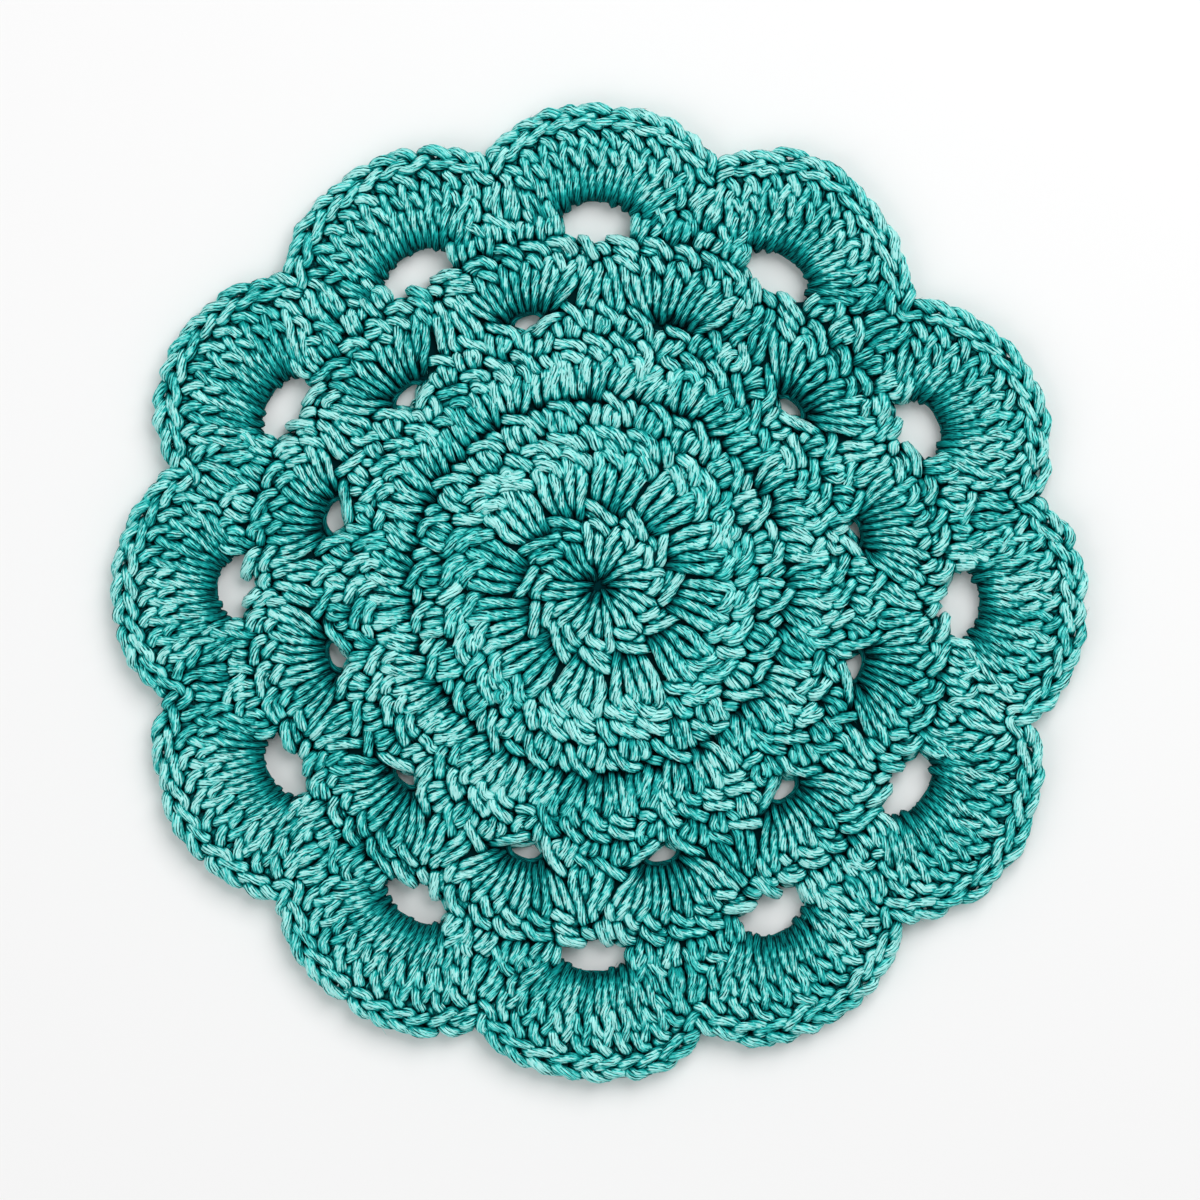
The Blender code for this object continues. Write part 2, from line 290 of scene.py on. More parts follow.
# A wide short stitch, which closes the dip between two fans
DIP_POST = knots(
    (0.95, 0.70, 0.0, -1.1), (0.75, 0.20, 0.0, -1.3), (0.70, 0.00, -1.0, -0.6), (0.72, 0.08, 0.0, 0.8),
    (0.80, 0.40, 0.0, 1.7), (0.84, 0.70, 0.0, 1.2), (0.72, 0.86, 0.0, 0.1), (0.56, 0.78, 0.0, -0.3),
    (0.48, 0.60, 0.0, 1.2), (0.44, 0.34, 0.0, 1.9), (0.42, 0.06, 0.0, 0.9), (0.40, 0.00, -1.0, -0.2),
    (0.36, 0.30, 0.0, -1.1), (0.22, 0.80, 0.0, -0.6), (0.10, 0.78, 0.0, 1.1), (0.04, 0.42, 0.0, 1.9),
    (0.00, 0.08, 0.0, 0.8), (0.00, 0.00, -1.0, -0.4), (0.00, 0.30, 0.0, -1.2), (-0.10, 0.80, 0.0, -0.6),
    (-0.26, 0.76, 0.0, 1.0), (-0.38, 0.42, 0.0, 1.7), (-0.40, 0.08, 0.0, 0.7), (-0.36, 0.00, -1.0, -0.4),
    (0.10, 0.20, 0.0, -1.3), (0.50, 0.70, 0.0, -1.2),
)

POSTS = {
    Stitch.TALL: TALL_POST,
    Stitch.LONG: LONG_POST,
    Stitch.SHORT: SHORT_POST,
    Stitch.DIP: DIP_POST,
    Stitch.CHAIN: (),
}


class Spot(NamedTuple):
    """One stitch in its place. Lengths are in millimetres.

    pitch is its width at the foot, flare how much wider it is half-way up, tilt how far its loop lies
    outwards, and bow how far it bends clockwise.
    """

    kind: Stitch
    foot: np.ndarray
    head: np.ndarray
    pitch: float
    flare: float = 0.0
    tilt: float = 1.0
    bow: float = 0.0


@dataclass(frozen=True)
class Yarn:
    """The cotton: several soft plies with a slow twist. Lengths are in millimetres."""

    radius: float = 1.26
    plies: int = 4
    ply_depth: float = 0.14
    sides: int = 8
    twist_per_mm: float = 0.32
    straight_step: float = 2.3
    bend_step: float = 0.62
    even_step: float = 1.0
    mid_height: float = 2.85


@dataclass
class Path:
    """A smooth path of the yarn: points in millimetres, and the yarn's width and tone there, the tone being
    painted shade towards each stitch's foot with a little random dullness.
    """

    points: np.ndarray
    widths: np.ndarray
    tones: np.ndarray


class YarnLayer:
    """Turns stitches into one smooth path."""

    jitter = 0.22
    own_jitter = 0.5
    fine = 6
    # Painted shade: a stitch is this dark at its foot, and brightens this fast up its height
    foot_shade = 0.5
    foot_shade_rise = 6.0
    most_dull = 0.14
    widths = (0.9, 1.08)
    squeeze_share = 0.34
    least_squeeze = 0.6
    full_above = 0.55
    # Brings the greatest value of share * (1 - share) ** 2 to 1
    bow_scale = 6.75

    def __init__(self, yarn: Yarn, seed: int) -> None:
        """Keeps the yarn and a random stream of its own."""
        self.yarn = yarn
        self.random = np.random.default_rng(seed)

    def knots_of(self, spot: Spot, edge: bool) -> tuple[Knot, ...]:
        """All the points of one stitch in the order that the yarn passes them."""
        if spot.kind is Stitch.BAR:
            return BAR_KNOT
        return POSTS[spot.kind] + (EDGE_LOOP if edge else CHAIN_LOOP)

    def lay(self, spots: list[Spot], edge: bool) -> Path:
        """The yarn through a whole round of stitches, worked counter-clockwise."""
        radius = self.yarn.radius
        points: list[np.ndarray] = []
        widths: list[float] = []
        tones: list[float] = []
        count = len(spots)
        for index, spot in enumerate(spots):
            before = spots[index - 1].head - spot.head
            after = spots[(index + 1) % count].head - spot.head
            rise = spot.head - spot.foot
            height = float(np.hypot(*rise))
            along = before - after
            along = along / np.hypot(*along)
            out = np.array([-along[1], along[0]])
            up_dir = rise / height if height > 0 else out
            right = np.array([up_dir[1], -up_dir[0]])
            sway = self.random.normal(0, 1, 2) * self.jitter * radius
            shine = 1 - self.random.uniform(0, self.most_dull)
            squeeze = float(np.clip(spot.pitch * self.squeeze_share / radius, self.least_squeeze, 1.0))
            for knot in self.knots_of(spot, edge):
                share = knot.up
                across = knot.across * (1 + spot.flare * 4 * share * (1 - share))
                toward = before * across if across > 0 else -after * across
                head = spot.head + toward
                foot = spot.foot + right * (across * spot.pitch)
                lift_dir = up_dir if share < 0.5 else out
                lift = knot.lift * radius * (spot.tilt if share == 1 else 1.0)
                place = foot * (1 - share) + head * share + lift_dir * lift + sway * (0.3 + 0.7 * share)
                place = place + right * spot.bow * self.bow_scale * share * (1 - share) ** 2
                stray = self.random.normal(0, 1, 3) * self.jitter * radius * self.own_jitter
                depth = self.yarn.mid_height + knot.depth * radius
                points.append(np.array([place[0] + stray[0], place[1] + stray[1], depth + stray[2]]))
                width = squeeze + (1 - squeeze) * share / self.full_above
                width = 1.0 if share > self.full_above else width
                widths.append(width * self.random.uniform(*self.widths))
                # Painted shade towards the stitch's foot, times the stitch's random dullness
                tones.append(shine * float(np.clip(self.foot_shade + share * self.foot_shade_rise, 0, 1)))
        return self.even(np.column_stack([points, widths, tones]))

    def even(self, rows: np.ndarray) -> Path:
        """A curve through the knots, with evenly spaced points of its own."""
        fine = self.curve(rows)
        total = np.concatenate([[0.0], np.cumsum(np.linalg.norm(np.diff(fine[:, :3], axis=0), axis=1))])
        return self.sampled(fine, total, int(total[-1] / self.yarn.even_step) + 2)

    def sampled(self, fine: np.ndarray, total: np.ndarray, count: int) -> Path:
        """A path with this many points, at even steps of a running total."""
        wanted = np.linspace(0, total[-1], count)
        rows = np.stack([np.interp(wanted, total, column) for column in fine.T], axis=1)
        return Path(rows[:, :3], rows[:, 3], rows[:, 4])

    def thin(self, path: Path) -> Path:
        """The same curve with more points where it bends and fewer where it is straight."""
        fine = self.curve(np.column_stack([path.points, path.widths, path.tones]))
        steps = np.diff(fine[:, :3], axis=0)
        lengths = np.linalg.norm(steps, axis=1)
        units = steps / np.maximum(lengths, 1e-9)[:, None]
        turns = np.arccos(np.clip(np.sum(units[1:] * units[:-1], axis=1), -1, 1))
        cost = lengths / self.yarn.straight_step
        cost[1:] += turns / self.yarn.bend_step
        total = np.concatenate([[0.0], np.cumsum(cost)])
        return self.sampled(fine, total, int(total[-1]) + 2)

    def curve(self, rows: np.ndarray) -> np.ndarray:
        """Dense points on a centripetal Catmull-Rom curve, with their other values.

        Args:
            rows: x, y and z of each point, then any values that go along with it.

        Returns:
            The same columns at the denser points.
        """
        points = rows[:, :3]
        padded = np.concatenate([[2 * points[0] - points[1]], points, [2 * points[-1] - points[-2]]])
        p0, p1, p2, p3 = padded[:-3], padded[1:-2], padded[2:-1], padded[3:]
        ends = ((p0, p1), (p1, p2), (p2, p3))
        gaps = [np.sqrt(np.maximum(np.linalg.norm(b - a, axis=1), 1e-6)) for a, b in ends]
        t0 = np.zeros(len(p0))
        t1 = t0 + gaps[0]
        t2 = t1 + gaps[1]
        t3 = t2 + gaps[2]
        share = (np.arange(self.fine) / self.fine)[:, None]
        t = t1 + share * (t2 - t1)

        def mix(a: np.ndarray, b: np.ndarray, ta: np.ndarray, tb: np.ndarray) -> np.ndarray:
            """The point between two, at each time t."""
            weight = ((t - ta) / (tb - ta))[..., None]
            return a * (1 - weight) + b * weight

        a1 = mix(p0, p1, t0, t1)
        a2 = mix(p1, p2, t1, t2)
        a3 = mix(p2, p3, t2, t3)
        b1 = mix(a1, a2, t0, t2)
        b2 = mix(a2, a3, t1, t3)
        inner = mix(b1, b2, t1, t2)
        dense = inner.transpose(1, 0, 2).reshape(-1, 3)
        old = np.arange(len(points))
        new = np.arange(len(dense) + 1) / self.fine
        extras = [np.interp(new, old, column) for column in rows[:, 3:].T]
        return np.column_stack([np.concatenate([dense, points[-1:]]), *extras])


# The cloth's cells are numbered in rows of this many, counted from this far below zero
CELL_ROW = 4096
CELL_SHIFT = 512


def cell_keys(points: np.ndarray, size: float) -> np.ndarray:
    """The number of the square cell, of this size, that each point lies over."""
    cells = np.floor(points[:, :2] / size).astype(np.int64) + CELL_SHIFT
    return cells[:, 0] * CELL_ROW + cells[:, 1]


def matches(ranked_key: np.ndarray, low: np.ndarray, high: np.ndarray) -> tuple[np.ndarray, np.ndarray]:
    """Finds, for each point, the entries of a sorted list between two keys.

    Args:
        ranked_key: the sorted keys.
        low: each point's lowest key.
        high: its highest.

    Returns:
        The points, each repeated for every entry, and the entries' places in the list.
    """
    first = np.searchsorted(ranked_key, low, "left")
    count = np.searchsorted(ranked_key, high, "right") - first
    inside = np.arange(count.sum()) - np.repeat(np.cumsum(count) - count, count)
    return np.repeat(np.arange(len(low)), count), np.repeat(first, count) + inside


@dataclass
class Settler:
    """Pushes strands apart until each has its own room, as yarn does when it is pulled tight."""

    yarn: Yarn
    passes: int = 30
    refresh: int = 5
    squash: float = 0.9
    skip: int = 4
    reach: float = 3.0
    strength: float = 0.5
    keep: float = 0.985
    longest_move: float = 1.3
    lowest: float = 1.38
    highest: float = 4.7

    def pairs(self, points: np.ndarray, order: np.ndarray) -> tuple[np.ndarray, np.ndarray]:
        """Pairs of points within reach of each other that aren't neighbours on one strand.

        Args:
            points: all points, in millimetres.
            order: each point's place along its path, with jumps between paths.

        Returns:
            The two ends of each pair.
        """
        key = cell_keys(points, self.reach)
        ranked = np.argsort(key, kind="stable")
        found_a = []
        found_b = []
        for step in (0, 1, CELL_ROW - 1, CELL_ROW, CELL_ROW + 1):
            a, place = matches(key[ranked], key + step, key + step)
            b = ranked[place]
            near = np.sum((points[a] - points[b]) ** 2, axis=1) < self.reach**2
            apart = np.abs(order[a] - order[b]) >= self.skip
            keep = near & apart & ((b > a) if step == 0 else True)
            found_a.append(a[keep])
            found_b.append(b[keep])
        return np.concatenate(found_a), np.concatenate(found_b)

    def settle(self, paths: list[Path]) -> None:
        """Moves the points of all paths in place."""
        points = np.concatenate([path.points for path in paths])
        radius = np.concatenate([path.widths for path in paths]) * self.yarn.radius * self.squash
        order = np.concatenate([np.arange(len(path.points)) + 100000 * n for n, path in enumerate(paths)])
        lowest = np.maximum(self.lowest, radius / self.squash + 0.1)
        home = points.copy()
        ends = np.cumsum([len(path.points) for path in paths])
        starts = ends - [len(path.points) for path in paths]
        for turn in range(self.passes):
            if turn % self.refresh == 0:
                a, b = self.pairs(points, order)
            gap = points[b] - points[a]
            distance = np.maximum(np.linalg.norm(gap, axis=1), 1e-3)
            overlap = np.maximum(radius[a] + radius[b] - distance, 0) * self.strength
            push = gap / distance[:, None] * overlap[:, None] * 0.5
            for axis in range(3):
                count = len(points)
                moved = np.bincount(b, push[:, axis], count) - np.bincount(a, push[:, axis], count)
                points[:, axis] += moved
            move = (points - home) * self.keep
            for first, last in zip(starts, ends):
                part = move[first:last]
                part[1:-1] = 0.5 * part[1:-1] + 0.25 * (part[:-2] + part[2:])
            length = np.maximum(np.linalg.norm(move, axis=1), 1e-9)
            move *= np.minimum(1, self.longest_move / length)[:, None]
            points = home + move
            points[:, 2] = np.clip(points[:, 2], lowest, self.highest)
        for path, first, last in zip(paths, starts, ends):
            path.points = points[first:last]


@dataclass
class Shade:
    """How open each point of the yarn's surface is, next to the strands around it, for painted shade that
    darkens it where the strands around it would shade it.
    """

    strands: np.ndarray
    reach: float = 3.0
    strength: float = 1.12
    free: float = 0.12
    dark_below: float = 3.0
    light_above: float = 5.2
    low_extra: float = 1.8
    chunk: int = 40000

    def openness(self, points: np.ndarray, normals: np.ndarray) -> np.ndarray:
        """From 1 in the open towards 0 deep between strands and on low strands, to be painted on as shade.

        Args:
            points: points on the surface, in millimetres.
            normals: the surface's normals there.

        Returns:
            One value for each point.
        """
        key = cell_keys(self.strands, self.reach)
        ranked = np.argsort(key, kind="stable")
        ranked_key = key[ranked]
        strands = self.strands[ranked].astype(np.float32)
        closed = np.zeros(len(points))
        for start in range(0, len(points), self.chunk):
            own = slice(start, min(start + self.chunk, len(points)))
            spots = points[own].astype(np.float32)
            facing = normals[own].astype(np.float32)
            middle = cell_keys(spots, self.reach)
            for column in (-CELL_ROW, 0, CELL_ROW):
                who, place = matches(ranked_key, middle + column - 1, middle + column + 1)
                gap = strands[place] - spots[who]
                distance = np.sqrt(np.sum(gap * gap, axis=1)) + 1e-4
                along = np.sum(gap * facing[who], axis=1) / distance
                weight = np.maximum(along, 0) * np.maximum(1 - distance / self.reach, 0) ** 2
                closed[own] += np.bincount(who, weight, len(spots))
        closed = np.maximum(closed - self.free, 0)
        # Strands that lie low get more painted shade
        low = np.clip((self.light_above - points[:, 2]) / (self.light_above - self.dark_below), 0, 1)
        return np.exp(-self.strength * closed * (1 + self.low_extra * low))

    def store(self, piece: bpy.types.Object) -> None:
        """Writes the openness, times the painted shade already there, onto a piece's points as painted
        shade.
        """
        mesh = piece.data
        points = np.empty(len(mesh.vertices) * 3, np.float32)
        mesh.vertices.foreach_get("co", points)
        normals = np.empty(len(mesh.vertices) * 3, np.float32)
        mesh.vertex_normals.foreach_get("vector", normals)
        tones = np.empty(len(mesh.vertices), np.float32)
        layer = mesh.attributes[SHADE_ATTRIBUTE]
        layer.data.foreach_get("value", tones)
        values = self.openness(points.reshape(-1, 3) / MM, normals.reshape(-1, 3)) * tones
        layer.data.foreach_set("value", values.astype(np.float32))


def add_math(
    tree: bpy.types.NodeTree, kind: str, a: object, b: object = None
) -> bpy.types.NodeSocket:
    """Adds a math node to a tree.

    Args:
        tree: a shader or geometry tree.
        kind: the operation.
        a: its first input, a socket or a number.
        b: its second input, if it has one.

    Returns:
        The node's output.
    """
    node = tree.nodes.new("ShaderNodeMath")
    node.operation = kind
    for slot, value in ((0, a), (1, b)):
        if isinstance(value, bpy.types.NodeSocket):
            tree.links.new(value, node.inputs[slot])
        elif value is not None:
            node.inputs[slot].default_value = value
    return node.outputs[0]


def add_object(name: str, data: bpy.types.ID) -> bpy.types.Object:
    """A new object of the scene that holds this data."""
    made = bpy.data.objects.new(name, data)
    bpy.context.scene.collection.objects.link(made)
    return made


def add_spline(curve: bpy.types.Curve, points: np.ndarray) -> bpy.types.Spline:
    """Adds straight runs through these points, in millimetres, to a curve."""
    spline = curve.splines.new("POLY")
    spline.points.add(len(points) - 1)
    rows = np.ones((len(points), 4))
    rows[:, :3] = points * MM
    spline.points.foreach_set("co", rows.ravel())
    return spline


def made_plain(guide: bpy.types.Object, name: str) -> bpy.types.Object:
    """An object with the guide's evaluated mesh as a plain one. The guide is removed."""
    graph = bpy.context.evaluated_depsgraph_get()
    mesh = bpy.data.meshes.new_from_object(guide.evaluated_get(graph), depsgraph=graph)
    mesh.name = name
    guide.modifiers.clear()
    bpy.data.objects.remove(guide, do_unlink=True)
    return add_object(name, mesh)


class Sweep:
    """The Geometry Nodes tree that gives a path its plied, twisted yarn."""

    def __init__(self) -> None:
        """Builds the tree once."""
        self.tree = bpy.data.node_groups.new("plied_yarn", "GeometryNodeTree")
        self.sockets: dict[str, str] = {}
        self._inputs()
        self._nodes()

    def _inputs(self) -> None:
        """Named inputs for the yarn's sizes."""
        face = self.tree.interface
        face.new_socket("Geometry", in_out="INPUT", socket_type="NodeSocketGeometry")
        kinds = {"Radius": "Float", "Ply Depth": "Float", "Twist": "Float", "Plies": "Int", "Sides": "Int"}
        for name, kind in kinds.items():
            socket = face.new_socket(name, in_out="INPUT", socket_type=f"NodeSocket{kind}")
            self.sockets[name] = socket.identifier
        socket = face.new_socket("Finish", in_out="INPUT", socket_type="NodeSocketMaterial")
        self.sockets["Finish"] = socket.identifier
        face.new_socket("Geometry", in_out="OUTPUT", socket_type="NodeSocketGeometry")

    def _nodes(self) -> None:
        """The tree itself."""
        tree = self.tree
        new = tree.nodes.new
        link = tree.links.new
        calc = partial(add_math, tree)
        given = new("NodeGroupInput")
        along = new("GeometryNodeSplineParameter")

        # The guide's tilt carries the painted shade at each point until the twist takes its place
        lit = new("GeometryNodeCaptureAttribute")
        lit.capture_items.new("FLOAT", "Tone")
        link(given.outputs["Geometry"], lit.inputs["Geometry"])
        link(new("GeometryNodeInputCurveTilt").outputs["Tilt"], lit.inputs["Tone"])
        tilt = new("GeometryNodeSetCurveTilt")
        link(lit.outputs["Geometry"], tilt.inputs["Curve"])
        link(calc("MULTIPLY", along.outputs["Length"], given.outputs["Twist"]), tilt.inputs["Tilt"])
        keep_along = new("GeometryNodeCaptureAttribute")
        keep_along.capture_items.new("FLOAT", "Along")
        link(tilt.outputs["Curve"], keep_along.inputs["Geometry"])
        link(along.outputs["Length"], keep_along.inputs["Along"])

        line = new("GeometryNodeCurvePrimitiveLine")
        ring = new("GeometryNodeResampleCurve")
        link(line.outputs["Curve"], ring.inputs["Curve"])
        link(calc("ADD", given.outputs["Sides"], 1.0), ring.inputs["Count"])
        around = new("GeometryNodeSplineParameter")
        turn = calc("MULTIPLY", around.outputs["Factor"], math.tau)
        ridge = calc("COSINE", calc("MULTIPLY", turn, given.outputs["Plies"]))
        dip = calc("MULTIPLY", calc("SUBTRACT", 1.0, ridge), 0.5)
        size = calc("SUBTRACT", 1.0, calc("MULTIPLY", dip, given.outputs["Ply Depth"]))
        reach = calc("MULTIPLY", size, given.outputs["Radius"])
        corner = new("ShaderNodeCombineXYZ")
        link(calc("MULTIPLY", calc("COSINE", turn), reach), corner.inputs["X"])
        link(calc("MULTIPLY", calc("SINE", turn), reach), corner.inputs["Y"])
        keep_around = new("GeometryNodeCaptureAttribute")
        keep_around.capture_items.new("FLOAT", "Around")
        link(ring.outputs["Curve"], keep_around.inputs["Geometry"])
        link(around.outputs["Factor"], keep_around.inputs["Around"])
        place = new("GeometryNodeSetPosition")
        link(keep_around.outputs["Geometry"], place.inputs["Geometry"])
        link(corner.outputs["Vector"], place.inputs["Position"])

        sweep = new("GeometryNodeCurveToMesh")
        link(keep_along.outputs["Geometry"], sweep.inputs["Curve"])
        link(place.outputs["Geometry"], sweep.inputs["Profile Curve"])
        link(new("GeometryNodeInputRadius").outputs["Radius"], sweep.inputs["Scale"])

        pair = new("ShaderNodeCombineXYZ")
        link(keep_along.outputs["Along"], pair.inputs["X"])
        link(keep_around.outputs["Around"], pair.inputs["Y"])
        store = new("GeometryNodeStoreNamedAttribute")
        store.data_type = "FLOAT2"
        store.domain = "CORNER"
        store.inputs["Name"].default_value = PLIES_UV
        link(sweep.outputs["Mesh"], store.inputs["Geometry"])
        link(pair.outputs["Vector"], store.inputs["Value"])

        tone = new("GeometryNodeStoreNamedAttribute")
        tone.data_type = "FLOAT"
        tone.inputs["Name"].default_value = SHADE_ATTRIBUTE
        link(store.outputs["Geometry"], tone.inputs["Geometry"])
        link(lit.outputs["Tone"], tone.inputs["Value"])
        merge = new("GeometryNodeMergeByDistance")
        merge.inputs["Distance"].default_value = 0.01 * MM
        link(tone.outputs["Geometry"], merge.inputs["Geometry"])
        soft = new("GeometryNodeSetShadeSmooth")
        link(merge.outputs["Geometry"], soft.inputs["Geometry"])
        real = new("GeometryNodeRealizeInstances")
        link(soft.outputs["Geometry"], real.inputs["Geometry"])
        finish = new("GeometryNodeSetMaterial")
        link(real.outputs["Geometry"], finish.inputs["Geometry"])
        link(given.outputs["Finish"], finish.inputs["Material"])
        link(finish.outputs["Geometry"], new("NodeGroupOutput").inputs["Geometry"])

    def piece(
        self, name: str, paths: list[Path], yarn: Yarn, finish: bpy.types.Material
    ) -> bpy.types.Object:
        """A plain mesh of yarn along one or more paths.

        Args:
            name: the piece's name.
            paths: where the yarn runs.
            yarn: how thick and how twisted it is.
            finish: its material.

        Returns:
            The piece, at the origin, with its place in its mesh.
        """
        data = bpy.data.curves.new(name + "_path", "CURVE")
        data.dimensions = "3D"
        for path in paths:
            spline = add_spline(data, path.points)
            # Almost closes the yarn's ends, and the merge does the rest
            widths = path.widths.copy()
            widths[[0, -1]] = 1e-4
            spline.points.foreach_set("radius", widths)
            spline.points.foreach_set("tilt", path.tones)
        guide = add_object(name + "_path", data)
        modifier = guide.modifiers.new("plied_yarn", "NODES")
        modifier.node_group = self.tree
        values = {
            "Radius": yarn.radius * MM,
            "Ply Depth": yarn.ply_depth,
            "Twist": yarn.twist_per_mm / MM,
            "Plies": yarn.plies,
            "Sides": yarn.sides,
            "Finish": finish,
        }
        for label, value in values.items():
            modifier[self.sockets[label]] = value
        return made_plain(guide, name)


@dataclass
class CrochetRound:
    """A round of stitches. Lengths are in millimetres and angles in degrees."""

    name: str
    pattern: Pattern
    layer: YarnLayer
    edge: bool = False
    lengths: int = 1
    search: int = 60
    fullness: float = 1.0

    def spots(self) -> list[Spot]:
        """The stitches in working order, counter-clockwise."""
        raise NotImplementedError

    def path(self) -> Path:
        """The yarn's way through the whole round."""
        path = self.layer.lay(self.spots(), self.edge)
        path.widths = path.widths * self.fullness
        return path

    def build(
        self, path: Path, sweep: Sweep, finish: bpy.types.Material
    ) -> list[bpy.types.Object]:
        """The round's yarn, in as many pieces as the round has lengths.

        Args:
            path: where its yarn runs.
            sweep: what gives the path its thickness.
            finish: the yarn's material.

        Returns:
            The pieces, which meet at the back of the cloth.
        """
        path = self.layer.thin(path)
        cuts = [0]
        for number in range(1, self.lengths):
            about = len(path.points) * number // self.lengths
            cuts.append(about + int(np.argmin(path.points[about : about + self.search, 2])))
        cuts.append(len(path.points) - 1)
        pieces = []
        for number, (first, last) in enumerate(zip(cuts, cuts[1:])):
            run = slice(first, last + 1)
            part = Path(path.points[run], path.widths[run], path.tones[run])
            name = self.name if self.lengths == 1 else f"{self.name}_{number + 1}"
            piece = sweep.piece(name, [part], self.layer.yarn, finish)
            length = float(np.linalg.norm(np.diff(part.points, axis=0), axis=1).sum())
            faces = sum(len(polygon.vertices) - 2 for polygon in piece.data.polygons)
            log.info("%s: %.2f m of yarn, %d triangles", name, length * MM, faces)
            pieces.append(piece)
        return pieces


@dataclass
class PostRing(CrochetRound):
    """Tall stitches in a ring, each foot shared by one or two of them, with a chain between pairs."""

    feet: int = 12
    per_foot: int = 1
    foot_deg: float = 12.0
    foot_radius: float = 2.4
    head_gap_deg: float = 30.0
    head_radius: float = 15.6
    pitch: float = 1.1
    flare: float = 0.0
    bow: float = 0.0

    def spots(self) -> list[Spot]:
        """Groups of stitches on one foot each."""
        found = []
        for number in range(self.feet):
            middle = (self.foot_deg + 360 * number / self.feet) / REPEAT_DEG
            for place in range(self.per_foot):
                beside = place - (self.per_foot - 1) / 2
                spread = beside * self.pitch / self.foot_radius * 180 / math.pi / REPEAT_DEG
                foot = self.pattern.place(middle + spread, self.foot_radius)
                head_phase = middle + beside * self.head_gap_deg / REPEAT_DEG
                head = self.pattern.place(head_phase, self.head_radius)
                bow = -2 * beside * self.bow
                found.append(Spot(Stitch.LONG, foot, head, self.pitch, self.flare, bow=bow))
            if self.per_foot > 1:
                head = self.pattern.place(middle + 0.5, self.head_radius)
                found.append(Spot(Stitch.CHAIN, head, head, self.pitch))
        return found


@dataclass
class ClusterRing(CrochetRound):
    """Short stitches with one chain between, in a ring."""

    count: int = 24
    chain_radius: float = 36.2
    foot_deg: float = 12.5
    foot_radius: float = 31.2
    head_radius: float = 39.0
    head_lean: float = 0.12
    chain_lean: float = 0.56
    pitch: float = 3.6

    def spots(self) -> list[Spot]:
        """A short stitch and a chain by turns. The leans are shares of a stitch's room."""
        found = []
        step = 360 / self.count
        for index in range(self.count):
            at = (self.foot_deg + step * index) / REPEAT_DEG
            foot = self.pattern.place(at, self.foot_radius)
            head = self.pattern.place(at + self.head_lean * step / REPEAT_DEG, self.head_radius)
            found.append(Spot(Stitch.SHORT, foot, head, self.pitch))
            beside = self.pattern.place(at + self.chain_lean * step / REPEAT_DEG, self.chain_radius)
            found.append(Spot(Stitch.CHAIN, beside, beside, self.pitch))
        return found


@dataclass
class FanRound(CrochetRound):
    """Fans of tall stitches, each worked into one space, with one short stitch between fans."""

    shift: float = 0.0
    post: Stitch = Stitch.LONG
    posts: int = 4
    spread_deg: float = 18.0
    head_radius: float = 50.4
    head_drop: float = 2.0
    dip_foot_radius: float = 38.0
    dip_head_radius: float = 46.6
    space_radius: float = 37.0
    space_width: float = 4.6
    space_height: float = 0.8
    openings: list[Opening] = field(default_factory=list)
    foot_span: float = 0.88
    dip_pitch: float = 2.6
    arch_lift: float = 2.9
    dip_openings: list[Opening] = field(default_factory=list)
    dip_clear: float = 2.5
    eye_clear: float = 0.3
    edge_inset: float = 3.1
    dip_tilt: float = 0.3
    beside_tilt: float = 0.5

    def foot_of(self, repeat: int, turn: float) -> np.ndarray:
        """Foot of a stitch, at a turn from 0 (clockwise end) to pi round its space."""
        if self.openings and not self.space_width:
            return self.openings[repeat].arch(self.pattern, np.float64(turn), self.arch_lift)
        reach = self.space_radius
        if self.openings:
            hole = self.openings[repeat]
            reach = hole.reach + hole.height / 2 + self.eye_clear + hole.spare
        across = np.float64(math.cos(turn) * self.space_width / 2)
        out = np.float64(math.sin(turn) * self.space_height)
        return self.pattern.local(repeat + self.shift, reach, across, out)

    def head_of(self, repeat: int, share: float) -> np.ndarray:
        """Head of a stitch, with share from -1 (clockwise end) to 1."""
        phase = repeat + self.shift + share * self.spread_deg / 2 / REPEAT_DEG
        if self.edge:
            return self.pattern.edge(phase, self.edge_inset)
        point = self.pattern.place(phase, self.head_radius - self.head_drop * share**2)
        if not self.dip_openings:
            return point
        near = self.dip_openings[int(round(phase)) % REPEATS]
        return near.hold_back(self.pattern, point, self.dip_clear)

    def spots(self) -> list[Spot]:
        """All fans and the stitches between them."""
        found = []
        half = math.pi / 2
        for repeat in range(REPEATS):
            turns = half + np.linspace(-half, half, self.posts) * self.foot_span
            feet = [self.foot_of(repeat, turn) for turn in turns]
            pitch = float(np.mean([np.hypot(*(b - a)) for a, b in zip(feet, feet[1:])]))
            for foot, share in zip(feet, np.linspace(-1, 1, self.posts)):
                tilt = self.beside_tilt if self.dip_openings and abs(share) == 1 else 1.0
                found.append(Spot(self.post, foot, self.head_of(repeat, share), pitch, tilt=tilt))
            at = repeat + self.shift + 0.5
            foot = self.pattern.place(at, self.dip_foot_radius)
            head = self.pattern.place(at, self.dip_head_radius)
            if self.dip_openings:
                hole = self.dip_openings[int(round(at)) % REPEATS]
                reach = hole.reach - hole.height / 2 - self.dip_clear
                head = self.pattern.local(at, reach, np.float64(0), np.float64(0))
            tilt = self.dip_tilt if self.dip_openings else 1.0
            found.append(Spot(Stitch.DIP, foot, head, self.dip_pitch, tilt=tilt))
        return found


